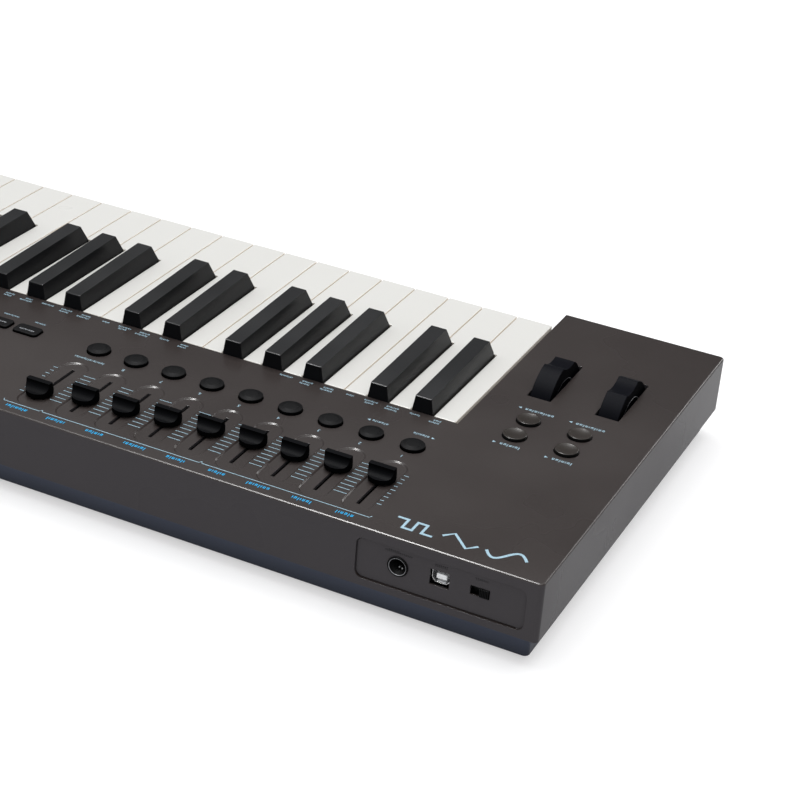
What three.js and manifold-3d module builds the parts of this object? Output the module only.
// A desktop music keyboard controller, in millimetres.
// +X runs from the low keys to the high keys, -Y points at the player and +Z points up.
// The origin is the middle of the footprint, on the surface that the feet stand on.
// Lengths along X are given from the left end of the case, and lengths along Y from its rear face.
import * as THREE from "three";
import { mergeVertices } from "three/addons/utils/BufferGeometryUtils.js";
import Module from "manifold-3d";

const wasm = await Module();
wasm.setup();

// ---- driving dimensions ----
const KEY_PITCH = 23.5;
const WHITE_KEYS = 22;
const KEY_GAP = 0.8;
const CLEARANCE = 0.3;

const CASE = { depth: 290, top: 52, seam: 17, wall: 2.5, cornerRadius: 3, edgeRadius: 1.2 };
const PANEL_DEPTH = 125;
const BLOCK_WIDTH = 103.7;
const WELL_CLEARANCE = 1.3;
const CHEEK_WIDTH = 18;
const KEYS_START = BLOCK_WIDTH + WELL_CLEARANCE;
const KEYS_END = KEYS_START + WHITE_KEYS * KEY_PITCH;
const WELL_END = KEYS_END + WELL_CLEARANCE;
const LENGTH = WELL_END + CHEEK_WIDTH;

const TRAY = {
  inset: 6,
  wall: 2.5,
  cornerRadius: 3,
  innerRadius: 1,
  floorLow: 3,
  floorHigh: 5.5,
  wallTop: 23,
  railTop: 29,
  railDepth: 8,
};
const FOOT = { radius: 8, fromSide: 40, fromRear: 40, fromFront: 30 };

const WHITE = {
  rear: 125.5,
  front: 269.7,
  skirt: 13,
  lip: 19,
  lipThickness: 3,
  shell: 2,
  rearWall: 3,
};
const BLACK = {
  front: 213.3,
  frontTop: 206.5,
  baseWidth: 13.2,
  topWidth: 10,
  rearRise: 9.5,
  frontRise: 11.8,
  frontGap: 1.2,
  foot: 5,
  neck: 6,
};
const TAIL = { rear: 97, top: 46, low: 34.5, width: 9 };
const PIVOT = { rear: 100, height: 36 };
// How far each black key's middle lies from the gap between its two white neighbours.
const BLACK_OFFSETS = new Map([[0, -2.5], [1, 2.1], [3, -3.0], [4, 0.2], [5, 3.3]]);
const WHITES_PER_OCTAVE = 7;

const FADERS = {
  first: 113,
  pitch: 25.35,
  slotRear: 20,
  slotFront: 61,
  slotWidth: 2.2,
  dishRadius: 8.5,
  dishDepth: 0.65,
  dishSlope: 1.05,
};
// Where each fader stands, from the rear face.
const FADER_PLACES = [48.3, 46.7, 45, 44.3, 42.5, 39.2, 36.4, 34.8, 27.3];
const CAP = { radius: 7.75, lift: 0.2, skirt: 3.1, ridge: 3.4, rise: 8.4, scoopRadius: 4.5, stem: 5.4 };

// Each panel button stands a little to the right of its fader.
const PANEL_BUTTON = { shift: 0.7, depth: 87.6, radius: 6.9, skirt: 1.6, rise: 2.5 };
const ROUND_BUTTON = { radius: 6.8, hole: 7.2, skirt: 1.45, rise: 1.9, rim: 0.75, dish: 0.85, height: 6 };
const ROUND_BUTTONS = [
  { name: "button_transpose_down", x: 71, y: 149.6 },
  { name: "button_octave_down", x: 71, y: 129.6 },
  { name: "button_transpose_up", x: 40, y: 149.6 },
  { name: "button_octave_up", x: 40, y: 129.6 },
];

const WHEEL = {
  radius: 28,
  width: 12.2,
  middle: 203,
  height: 36.5,
  slotWidth: 14.8,
  slotLength: 51,
  grooveRadius: 22,
  grooveDepth: 3.4,
  axleRadius: 3,
  axleReach: 5,
  webRadius: 18,
  webRecess: 1.4,
};
const UPRIGHT = { thickness: 3, halfWidth: 7, gap: 1.2 };
const WHEELS = [
  { name: "wheel_pitch_bend", x: 34.6, turn: -4 },
  { name: "wheel_modulation", x: 76.4, turn: 9.3 },
];

const TRANSPORT = { count: 6, first: 356.5, pitch: 20.4, width: 16.6, rear: 80.6, front: 90.6, rise: 1.6 };
// The silicone sheets that carry the panel buttons and the pads.
const SHEET = { thickness: 1.4, rear: 77.5, front: 96.5, margin: 9, padMargin: 2 };
const PADS = { columns: 4, rows: 2, left: 497, rear: 22, size: 26, pitch: 31, rise: 3 };
const DISPLAY = { left: 372, right: 462, rear: 24, front: 62, recess: 1 };

const RECESS = { left: 8, right: 103, low: 21.5, high: 46, depth: 1.2 };
const JACK = { x: 79.2, height: 34.9, outer: 4.5, hole: 4.9, bore: 3.3, boreDepth: 22, body: 13, bodyDepth: 27 };
const USB = { left: 49.6, right: 61.4, low: 30.8, high: 40, shell: 0.6, depth: 14, backWall: 2 };
const SWITCH = {
  left: 28.1,
  right: 38.9,
  low: 32.7,
  high: 38.1,
  knobWidth: 5.4,
  knobProud: 0.9,
  knobInside: 1.4,
  body: { rear: 2, front: 9, margin: 1 },
};

const BOARD = {
  low: 36,
  high: 37.6,
  rear: 10,
  front: 93,
  left: 104,
  right: 619,
  faderTop: 46,
  armLeft: 30,
  armRight: 98,
  armRear: 60,
  armFront: 160,
  switchTop: 44.5,
  switchHalf: 3,
  faderHalf: 4.5,
  faderMargin: 4,
  sink: 0.5,
};
const CONNECTOR_BOARD = { thickness: 1.6, margin: 6, front: 34 };

const KEYBED = {
  thickness: 3,
  front: 262,
  railDepth: 9,
  railMargin: 2,
  contactRear: 180,
  contactFront: 192,
  contactTop: 20,
  guideRear: 250,
  guideFront: 258,
  guideWidth: 4,
  guideTop: 35,
};

// ---- solids ----
// A closed three.js geometry as a manifold solid.
function solid(geometry) {
  const bare = geometry.index ? geometry.toNonIndexed() : geometry.clone();
  bare.deleteAttribute("normal");
  bare.deleteAttribute("uv");
  const merged = mergeVertices(bare, 1e-4);
  const mesh = new wasm.Mesh({
    numProp: 3,
    vertProperties: merged.attributes.position.array,
    triVerts: new Uint32Array(merged.index.array),
  });
  return new wasm.Manifold(mesh);
}

// A manifold solid back as a flat-shaded three.js geometry.
function geometryOf(manifold) {
  const mesh = manifold.getMesh();
  const geometry = new THREE.BufferGeometry();
  geometry.setAttribute("position", new THREE.BufferAttribute(new Float32Array(mesh.vertProperties), 3));
  geometry.setIndex(new THREE.BufferAttribute(new Uint32Array(mesh.triVerts), 1));
  const flat = geometry.toNonIndexed();
  flat.computeVertexNormals();
  return flat;
}

const X = (fromLeft) => fromLeft - LENGTH / 2;
const Y = (fromRear) => CASE.depth / 2 - fromRear;

// An upright box between two lengths from the left end, two from the rear face, and two heights.
function block(left, right, rear, front, low, high) {
  const geometry = new THREE.BoxGeometry(right - left, front - rear, high - low);
  geometry.translate(X((left + right) / 2), Y((rear + front) / 2), (low + high) / 2);
  return solid(geometry);
}

// An upright round post.
function post(x, y, radius, low, high, sides = 20) {
  const geometry = new THREE.CylinderGeometry(radius, radius, high - low, sides);
  geometry.rotateX(Math.PI / 2);
  geometry.translate(X(x), Y(y), (low + high) / 2);
  return solid(geometry);
}

// A round bar along X.
function barAlongX(left, right, y, z, radius, sides = 20) {
  const geometry = new THREE.CylinderGeometry(radius, radius, right - left, sides);
  geometry.rotateZ(Math.PI / 2);
  geometry.translate(X((left + right) / 2), Y(y), z);
  return solid(geometry);
}

// A round bar along Y.
function barAlongY(x, rear, front, z, radius, sides = 24) {
  const geometry = new THREE.CylinderGeometry(radius, radius, front - rear, sides);
  geometry.translate(X(x), Y((rear + front) / 2), z);
  return solid(geometry);
}

// A solid turned about an upright axis, from its outline of [radius, height] points that start and end on the axis.
function turned(x, y, outline, sides = 20) {
  const points = outline.map(([radius, height]) => new THREE.Vector2(radius, height));
  const geometry = new THREE.LatheGeometry(points, sides);
  geometry.rotateX(Math.PI / 2);
  geometry.translate(X(x), Y(y), 0);
  return solid(geometry);
}

// A round button: a straight barrel from low to edge, with a domed top that rises above the edge.
function dome(x, y, radius, low, edge, rise) {
  const steps = 3;
  const outline = [[0, low], [radius, low]];
  for (let i = 0; i < steps; i++) {
    const angle = (i / steps) * (Math.PI / 2);
    outline.push([radius * Math.cos(angle), edge + rise * Math.sin(angle)]);
  }
  outline.push([0, edge + rise]);
  return turned(x, y, outline);
}

// An upright stadium: a slot with round ends, running front to back, wider at its top than at its bottom by slope.
function stadium(x, rear, front, radius, low, high, slope = 0) {
  const shape = new THREE.Shape();
  const halfRun = (front - rear) / 2;
  shape.absarc(0, halfRun, radius - slope, 0, Math.PI);
  shape.absarc(0, -halfRun, radius - slope, Math.PI, 2 * Math.PI);
  shape.closePath();
  const geometry = new THREE.ExtrudeGeometry(shape, { depth: high - low, bevelEnabled: false, curveSegments: 7 });
  const place = geometry.attributes.position;
  for (let i = 0; i < place.count; i++) {
    const middle = Math.sign(place.getY(i)) * Math.min(Math.abs(place.getY(i)), halfRun);
    const grow = 1 + (slope / (radius - slope)) * (place.getZ(i) / (high - low));
    place.setX(i, place.getX(i) * grow);
    place.setY(i, middle + (place.getY(i) - middle) * grow);
  }
  geometry.translate(X(x), Y((rear + front) / 2), low);
  return solid(geometry);
}

// A prism along X whose side outline is a list of [from rear, height] points.
function sideProfile(left, right, points) {
  const shape = new THREE.Shape(points.map(([rear, height]) => new THREE.Vector2(Y(rear), height)));
  const geometry = new THREE.ExtrudeGeometry(shape, { depth: right - left, bevelEnabled: false });
  geometry.applyMatrix4(new THREE.Matrix4().set(0, 0, 1, X(left), 1, 0, 0, 0, 0, 1, 0, 0, 0, 0, 0, 1));
  return solid(geometry);
}

const union = (...solids) => solids.reduce((all, next) => all.add(next));
const cut = (from, ...tools) => tools.reduce((left, tool) => left.subtract(tool), from);

// ---- case ----
// An upright slab with rounded corners in plan and rounded upper edges.
function roundedSlab(inset, low, high, cornerRadius, edgeRadius) {
  const x = LENGTH / 2 - inset;
  const y = CASE.depth / 2 - inset;
  const shape = new THREE.Shape();
  shape.absarc(x - cornerRadius, y - cornerRadius, cornerRadius, 0, Math.PI / 2);
  shape.absarc(-x + cornerRadius, y - cornerRadius, cornerRadius, Math.PI / 2, Math.PI);
  shape.absarc(-x + cornerRadius, -y + cornerRadius, cornerRadius, Math.PI, 1.5 * Math.PI);
  shape.absarc(x - cornerRadius, -y + cornerRadius, cornerRadius, 1.5 * Math.PI, 2 * Math.PI);
  shape.closePath();
  const rounded = edgeRadius > 0;
  const geometry = new THREE.ExtrudeGeometry(shape, {
    depth: high - low - edgeRadius,
    bevelEnabled: rounded,
    bevelThickness: edgeRadius,
    bevelSize: edgeRadius,
    bevelOffset: -edgeRadius,
    bevelSegments: 3,
    curveSegments: 4,
  });
  geometry.translate(0, 0, low);
  const slab = solid(geometry);
  return slab.intersect(block(-1, LENGTH + 1, -1, CASE.depth + 1, low, high + 1));
}

const padPlaces = () => {
  const places = [];
  for (let row = 0; row < PADS.rows; row++)
    for (let column = 0; column < PADS.columns; column++)
      places.push([PADS.left + column * PADS.pitch, PADS.rear + row * PADS.pitch]);
  return places;
};
const transportPlaces = () =>
  Array.from({ length: TRANSPORT.count }, (_, i) => TRANSPORT.first + i * TRANSPORT.pitch);
const faderX = (index) => FADERS.first + index * FADERS.pitch;
const buttonX = (index) => faderX(index) + PANEL_BUTTON.shift;

function topCase() {
  const { wall, top, seam, depth } = CASE;
  const ceiling = top - wall;
  const flangeTop = seam + wall;
  const flangeInset = TRAY.inset - CLEARANCE;
  const panelEdge = PANEL_DEPTH;
  const wellWallLow = TRAY.wallTop + CLEARANCE;
  let shell = roundedSlab(0, seam, top, CASE.cornerRadius, CASE.edgeRadius);
  const hollow = roundedSlab(wall, seam - 1, ceiling, CASE.cornerRadius - wall, 0);
  const flange = cut(
    roundedSlab(wall - CLEARANCE, seam, flangeTop, CASE.cornerRadius - wall, 0),
    roundedSlab(flangeInset, seam - 1, flangeTop + 1, TRAY.innerRadius, 0),
  );
  shell = union(cut(shell, hollow), flange);
  // The key well, open at the front, with a side wall down the block and down the cheek.
  const well = block(BLOCK_WIDTH, WELL_END, panelEdge, depth + 1, seam - 1, top + 1);
  const innerWalls = union(
    block(BLOCK_WIDTH - wall, BLOCK_WIDTH, panelEdge - wall, depth - wall, wellWallLow, ceiling + 1),
    block(WELL_END, WELL_END + wall, panelEdge - wall, depth - wall, wellWallLow, ceiling + 1),
  );
  shell = cut(union(shell, innerWalls), well);
  // Fader dishes and slots.
  for (let i = 0; i < FADER_PLACES.length; i++) {
    const { slotRear, slotFront, slotWidth, dishRadius, dishDepth, dishSlope } = FADERS;
    const half = slotWidth / 2;
    shell = cut(
      shell,
      stadium(faderX(i), slotRear, slotFront, dishRadius, top - dishDepth, top, dishSlope),
      block(faderX(i) - half, faderX(i) + half, slotRear, slotFront, ceiling - 1, top),
      post(buttonX(i), PANEL_BUTTON.depth, PANEL_BUTTON.radius + CLEARANCE, ceiling - 1, top + 1),
    );
  }
  for (const { x, y } of ROUND_BUTTONS) shell = cut(shell, post(x, y, ROUND_BUTTON.hole, ceiling - 1, top + 1));
  for (const { x } of WHEELS) {
    const halfWidth = WHEEL.slotWidth / 2;
    const halfLength = WHEEL.slotLength / 2;
    const { middle } = WHEEL;
    shell = cut(
      shell,
      block(x - halfWidth, x + halfWidth, middle - halfLength, middle + halfLength, ceiling - 1, top + 1),
    );
  }
  for (const left of transportPlaces()) {
    const { width, rear, front } = TRANSPORT;
    shell = cut(
      shell,
      block(left - CLEARANCE, left + width + CLEARANCE, rear - CLEARANCE, front + CLEARANCE, ceiling - 1, top + 1),
    );
  }
  for (const [left, rear] of padPlaces()) {
    const right = left + PADS.size;
    const front = rear + PADS.size;
    shell = cut(
      shell,
      block(left - CLEARANCE, right + CLEARANCE, rear - CLEARANCE, front + CLEARANCE, ceiling - 1, top + 1),
    );
  }
  const { left, right, rear, front, recess } = DISPLAY;
  shell = cut(shell, block(left, right, rear, front, top - recess, top + 1));
  // The connector recess and its holes.
  return cut(
    shell,
    block(RECESS.left, RECESS.right, -1, RECESS.depth, RECESS.low, RECESS.high),
    barAlongY(JACK.x, -1, wall + 1, JACK.height, JACK.hole),
    block(USB.left - CLEARANCE, USB.right + CLEARANCE, -1, wall + 1, USB.low - CLEARANCE, USB.high + CLEARANCE),
    block(SWITCH.left, SWITCH.right, -1, wall + 1, SWITCH.low, SWITCH.high),
  );
}

// The wheels turn in pairs of uprights that stand on the tray's floor.
function wheelUprights() {
  const { middle, height, width, axleRadius } = WHEEL;
  const { thickness, halfWidth, gap } = UPRIGHT;
  return WHEELS.flatMap(({ x }) => {
    const face = width / 2 + gap;
    return [x - face - thickness, x + face].map((left) =>
      cut(
        block(left, left + thickness, middle - halfWidth, middle + halfWidth, TRAY.floorHigh - 1, height + halfWidth),
        barAlongX(left - 1, left + thickness + 1, middle, height, axleRadius + CLEARANCE),
      ),
    );
  });
}

function bottomCase() {
  const { inset, wall, cornerRadius, innerRadius, floorLow, floorHigh, wallTop, railTop, railDepth } = TRAY;
  const outer = roundedSlab(inset, floorLow, wallTop, cornerRadius, 0);
  const hollow = roundedSlab(inset + wall, floorHigh, wallTop + 1, innerRadius, 0);
  const front = CASE.depth - inset;
  const railGap = CASE.wall + CLEARANCE;
  const rail = block(BLOCK_WIDTH + railGap, WELL_END - railGap, front - railDepth, front, floorLow, railTop);
  const tray = union(cut(outer, hollow), rail);
  const right = LENGTH - FOOT.fromSide;
  const frontFeet = CASE.depth - FOOT.fromFront;
  const feet = [FOOT.fromSide, LENGTH / 2, right].flatMap((x) => [
    post(x, FOOT.fromRear, FOOT.radius, 0, floorHigh - 1),
    post(x, frontFeet, FOOT.radius, 0, floorHigh - 1),
  ]);
  return union(tray, ...feet, ...wheelUprights());
}

// ---- keys ----
function keyTail(middle, low, rear, front) {
  const half = TAIL.width / 2;
  return block(middle - half, middle + half, rear, front, low, TAIL.top);
}

const blackMiddle = (gap) => {
  const degree = gap % WHITES_PER_OCTAVE;
  return KEYS_START + (gap + 1) * KEY_PITCH + BLACK_OFFSETS.get(degree);
};
// A gap is numbered by the white key on its left, and holds a black key unless it is E-F or B-C.
const hasBlack = (gap) => gap >= 0 && gap < WHITE_KEYS - 1 && BLACK_OFFSETS.has(gap % WHITES_PER_OCTAVE);

// The narrow rear part of a white key lies between its black neighbours.
function whiteRearSpan(index) {
  const half = BLACK.baseWidth / 2 + KEY_GAP;
  const left = KEYS_START + index * KEY_PITCH + KEY_GAP / 2;
  const right = left + KEY_PITCH - KEY_GAP;
  return {
    left: hasBlack(index - 1) ? Math.max(left, blackMiddle(index - 1) + half) : left,
    right: hasBlack(index) ? Math.min(right, blackMiddle(index) - half) : right,
  };
}

function whiteKey(index) {
  const { top } = CASE;
  const { rear, front, skirt, lip, lipThickness, shell, rearWall } = WHITE;
  const left = KEYS_START + index * KEY_PITCH + KEY_GAP / 2;
  const right = left + KEY_PITCH - KEY_GAP;
  const span = whiteRearSpan(index);
  const low = top - skirt;
  const headRear = BLACK.front + BLACK.frontGap;
  const outer = union(
    block(left, right, headRear, front, low, top),
    block(span.left, span.right, rear, headRear + 1, low, top),
    block(left, right, front - lipThickness, front, top - lip, top),
  );
  const hollow = union(
    block(left + shell, right - shell, headRear + shell, front - lipThickness, low - 1, top - shell),
    block(span.left + shell, span.right - shell, rear + rearWall, headRear + shell + 1, low - 1, top - shell),
  );
  const tail = keyTail((span.left + span.right) / 2, TAIL.low, TAIL.rear, rear + rearWall - 1);
  return union(cut(outer, hollow), tail);
}

// A black key is a tapered bar, higher at its front, with a sloping front end.
function blackKey(gap) {
  const { top } = CASE;
  const middle = blackMiddle(gap);
  const low = top - BLACK.foot;
  const halfBase = BLACK.baseWidth / 2;
  const halfTop = BLACK.topWidth / 2;
  const corner = (x, y, z) => new THREE.Vector3(X(middle + x), Y(y), z);
  const ring = (half, rear, front, rearHeight, frontHeight) => [
    corner(-half, rear, rearHeight),
    corner(half, rear, rearHeight),
    corner(half, front, frontHeight),
    corner(-half, front, frontHeight),
  ];
  const rings = [
    ring(halfBase, WHITE.rear, BLACK.front, low, low),
    ring(halfBase, WHITE.rear, BLACK.front, top, top),
    ring(halfTop, WHITE.rear, BLACK.frontTop, top + BLACK.rearRise, top + BLACK.frontRise),
  ];
  const neckFront = WHITE.rear + BLACK.neck;
  const tail = keyTail(middle, TAIL.low, TAIL.rear, neckFront);
  const neck = block(middle - TAIL.width / 2, middle + TAIL.width / 2, WHITE.rear, neckFront, TAIL.low, low + 1);
  return union(stack(rings), tail, neck);
}

// A closed solid through a stack of four-cornered rings, lowest first.
function stack(rings) {
  const points = rings.flat();
  const last = (rings.length - 1) * 4;
  const index = [0, 1, 2, 0, 2, 3, last, last + 2, last + 1, last, last + 3, last + 2];
  for (let level = 0; level < rings.length - 1; level++)
    for (let side = 0; side < 4; side++) {
      const a = level * 4 + side;
      const b = level * 4 + ((side + 1) % 4);
      index.push(a, a + 4, b, b, a + 4, b + 4);
    }
  const geometry = new THREE.BufferGeometry().setFromPoints(points);
  geometry.setIndex(index);
  return solid(geometry);
}

const whiteMiddle = (index) => KEYS_START + (index + 0.5) * KEY_PITCH;

// The chassis under the keys: a plate, the rail that the keys' tails rock on, and a guide post for each white key.
function keybedFrame() {
  const { thickness, front, railDepth, railMargin, contactRear, contactFront, contactTop } = KEYBED;
  const { guideRear, guideFront, guideWidth, guideTop } = KEYBED;
  const low = TRAY.floorHigh + CLEARANCE;
  const high = low + thickness;
  const parts = [
    block(KEYS_START, KEYS_END, TAIL.rear - railMargin, front, low, high),
    block(KEYS_START, KEYS_END, TAIL.rear, TAIL.rear + railDepth - thickness, high - 1, TAIL.low - CLEARANCE),
    block(KEYS_START, KEYS_END, contactRear, contactFront, high - 1, contactTop),
  ];
  for (let index = 0; index < WHITE_KEYS; index++) {
    const x = whiteMiddle(index);
    parts.push(block(x - guideWidth / 2, x + guideWidth / 2, guideRear, guideFront, high - 1, guideTop));
  }
  return union(...parts);
}

// ---- controls ----
// A fader cap: a round body on a flat stem, cut down to a level seat on both sides of a straight grip ridge.
// A cove joins each seat to the ridge.
function faderCap(index) {
  const x = faderX(index);
  const y = FADER_PLACES[index];
  const { radius, lift, skirt, ridge, rise, scoopRadius, stem } = CAP;
  const bottom = CASE.top + lift;
  const top = CASE.top + rise;
  const body = post(x, y, radius, bottom, top, 28);
  const seat = bottom + skirt;
  const left = x - radius - 1;
  const right = x + radius + 1;
  const scoops = [-1, 1].map((side) => {
    const middle = y + side * (ridge / 2 + scoopRadius);
    const edge = y + side * (radius + 1);
    const cove = seat + scoopRadius;
    return union(
      barAlongX(left, right, middle, cove, scoopRadius, 24),
      block(left, right, middle - scoopRadius, middle + scoopRadius, cove, top + 1),
      block(left, right, Math.min(middle, edge), Math.max(middle, edge), seat, top + 1),
    );
  });
  const stemHalf = FADERS.slotWidth / 2 - CLEARANCE;
  const stemLow = BOARD.faderTop + CLEARANCE;
  return union(
    cut(body, ...scoops),
    block(x - stemHalf, x + stemHalf, y - stem / 2, y + stem / 2, stemLow, bottom + 1),
  );
}

// A wheel with a finger groove across its rim, recessed sides and a stub axle each side.
function wheel({ x, turn }) {
  const { radius, width, middle, height, grooveRadius, grooveDepth, axleRadius, axleReach } = WHEEL;
  const left = x - width / 2;
  const right = x + width / 2;
  const grooveOut = radius - grooveDepth + grooveRadius;
  const angle = THREE.MathUtils.degToRad(turn);
  const grooveY = middle + grooveOut * Math.sin(angle);
  const grooveZ = height + grooveOut * Math.cos(angle);
  const web = (from, to) => barAlongX(from, to, middle, height, WHEEL.webRadius, 28);
  const rim = cut(
    barAlongX(left, right, middle, height, radius, 44),
    barAlongX(left - 1, right + 1, grooveY, grooveZ, grooveRadius, 28),
    web(left - 1, left + WHEEL.webRecess),
    web(right - WHEEL.webRecess, right + 1),
  );
  return union(rim, barAlongX(left - axleReach, right + axleReach, middle, height, axleRadius, 16));
}

// A round push button: a straight barrel with a rounded rim and a shallow finger dish in its top.
function roundButton({ x, y }) {
  const { radius, skirt, rise, rim, dish, height } = ROUND_BUTTON;
  const high = CASE.top + rise;
  const low = CASE.top - height;
  const steps = 4;
  const outline = [[0, low], [radius, low], [radius, CASE.top + skirt]];
  for (let i = 0; i < steps; i++) {
    const angle = (i / steps) * (Math.PI / 2);
    outline.push([(radius - rim) * Math.cos(angle), high - dish * Math.sin(angle) ** 2]);
  }
  outline.push([0, high - dish]);
  return turned(x, y, outline);
}

// The sheet of silicone with the round buttons and the oblong ones.
function buttonMat() {
  const { thickness, rear, front, margin } = SHEET;
  const high = CASE.top - CASE.wall - CLEARANCE;
  const low = high - thickness;
  const lastOblong = TRANSPORT.first + TRANSPORT.count * TRANSPORT.pitch;
  const parts = [block(buttonX(0) - margin, lastOblong, rear, front, low, high)];
  const { depth, radius, skirt, rise } = PANEL_BUTTON;
  for (let i = 0; i < FADER_PLACES.length; i++)
    parts.push(dome(buttonX(i), depth, radius, low, CASE.top + skirt, rise - skirt));
  for (const left of transportPlaces())
    parts.push(block(left, left + TRANSPORT.width, TRANSPORT.rear, TRANSPORT.front, low, CASE.top + TRANSPORT.rise));
  return union(...parts);
}

// The sheet of rubber with the drum pads.
function padMat() {
  const { left, rear, columns, rows, pitch, size, rise } = PADS;
  const high = CASE.top - CASE.wall - CLEARANCE;
  const low = high - SHEET.thickness;
  const margin = SHEET.padMargin;
  const right = left + (columns - 1) * pitch + size + margin;
  const front = rear + (rows - 1) * pitch + size + margin;
  const parts = [block(left - margin, right, rear - margin, front, low, high)];
  for (const [padLeft, padRear] of padPlaces())
    parts.push(block(padLeft, padLeft + size, padRear, padRear + size, low, CASE.top + rise));
  return union(...parts);
}

// The main circuit board, with the bodies of the faders on it, and an arm that carries the round buttons' switches.
function controlBoard() {
  const { low, high, rear, front, left, right, faderTop, armLeft, armRight, armRear, armFront, switchTop } = BOARD;
  const parts = [
    block(left, right, rear, front, low, high),
    block(armLeft, left + 1, armRear, front, low, high),
    block(armLeft, armRight, front - 1, armFront, low, high),
  ];
  const { switchHalf, faderHalf, faderMargin, sink } = BOARD;
  for (const { x, y } of ROUND_BUTTONS)
    parts.push(block(x - switchHalf, x + switchHalf, y - switchHalf, y + switchHalf, high - sink, switchTop));
  const faderRear = FADERS.slotRear - faderMargin;
  const faderFront = FADERS.slotFront + faderMargin;
  for (let i = 0; i < FADER_PLACES.length; i++) {
    const x = faderX(i);
    parts.push(block(x - faderHalf, x + faderHalf, faderRear, faderFront, high - sink, faderTop));
  }
  return union(...parts);
}

// The small board behind the rear wall, with the data socket, the pedal jack and the body of the power switch.
function connectorBoard() {
  const { thickness, margin, front } = CONNECTOR_BOARD;
  const behind = CASE.wall + CLEARANCE;
  const half = JACK.body / 2;
  const boardLow = JACK.height - half - thickness;
  const boardTop = boardLow + thickness;
  const usbFront = behind + USB.depth;
  const { left, right, high, body } = SWITCH;
  const board = block(left - margin, JACK.x + half + margin, behind + 1, front, boardLow, boardTop + CLEARANCE);
  const jackBody = block(JACK.x - half, JACK.x + half, behind, behind + JACK.bodyDepth, boardTop, JACK.height + half);
  const jackBarrel = barAlongY(JACK.x, RECESS.depth - 1, behind + 1, JACK.height, JACK.outer);
  const usbBody = block(USB.left, USB.right, RECESS.depth, usbFront, USB.low, USB.high);
  const usbStand = block(USB.left, USB.right, behind, usbFront, boardTop, USB.low + 1);
  const switchBody = block(
    left - body.margin,
    right + body.margin,
    behind + body.rear,
    behind + body.front,
    boardTop,
    high + body.margin,
  );
  const jackBore = barAlongY(JACK.x, -1, JACK.boreDepth, JACK.height, JACK.bore, 20);
  const usbHollow = block(
    USB.left + USB.shell,
    USB.right - USB.shell,
    -1,
    usbFront - USB.backWall,
    USB.low + USB.shell,
    USB.high - USB.shell,
  );
  return cut(union(board, jackBody, jackBarrel, usbBody, usbStand, switchBody), jackBore, usbHollow);
}

// The slider of the power switch, in its slot in the rear wall.
function powerSlider() {
  const left = SWITCH.left + CLEARANCE;
  const { low, high, knobWidth, knobProud, knobInside } = SWITCH;
  const rear = RECESS.depth - knobProud;
  const front = CASE.wall + CLEARANCE + knobInside;
  return block(left, left + knobWidth, rear, front, low + CLEARANCE, high - CLEARANCE);
}

// ---- assembly ----
const FINISHES = {
  topPlastic: { color: 0x4a4542, roughness: 0.45, metalness: 0.25 },
  basePlastic: { color: 0x2c2e33, roughness: 0.6, metalness: 0 },
  whiteKey: { color: 0xece9e0, roughness: 0.3, metalness: 0 },
  blackKey: { color: 0x17171a, roughness: 0.5, metalness: 0 },
  blackPlastic: { color: 0x121316, roughness: 0.45, metalness: 0 },
  rubber: { color: 0x1a1b1d, roughness: 0.8, metalness: 0 },
  wheelRubber: { color: 0x1c1f26, roughness: 0.6, metalness: 0 },
  brownPlastic: { color: 0x4a433d, roughness: 0.25, metalness: 0.2 },
  chassis: { color: 0x8f8f8c, roughness: 0.6, metalness: 0 },
  board: { color: 0x15191a, roughness: 0.4, metalness: 0 },
};

const keyboard = new THREE.Group();

function addPart(name, manifold, finish) {
  const mesh = new THREE.Mesh(geometryOf(manifold), new THREE.MeshStandardMaterial(FINISHES[finish]));
  mesh.name = name;
  keyboard.add(mesh);
}

addPart("top_case", topCase(), "topPlastic");
addPart("bottom_case", bottomCase(), "basePlastic");
addPart("keybed_frame", keybedFrame(), "chassis");
addPart("control_board", controlBoard(), "board");
addPart("connector_board", connectorBoard(), "board");
addPart("button_mat", buttonMat(), "rubber");
addPart("pad_mat", padMat(), "rubber");
addPart("power_switch_slider", powerSlider(), "blackPlastic");
for (const placed of WHEELS) addPart(placed.name, wheel(placed), "wheelRubber");
for (const placed of ROUND_BUTTONS) addPart(placed.name, roundButton(placed), "brownPlastic");
FADER_PLACES.forEach((_, index) => addPart(`fader_cap_${index + 1}`, faderCap(index), "blackPlastic"));

// Keys are numbered from the left, black and white together.
const pad2 = (number) => String(number).padStart(2, "0");
let keyNumber = 0;
for (let index = 0; index < WHITE_KEYS; index++) {
  keyNumber += 1;
  addPart(`key_${pad2(keyNumber)}_white`, whiteKey(index), "whiteKey");
  if (hasBlack(index)) {
    keyNumber += 1;
    addPart(`key_${pad2(keyNumber)}_black`, blackKey(index), "blackKey");
  }
}

export default keyboard;
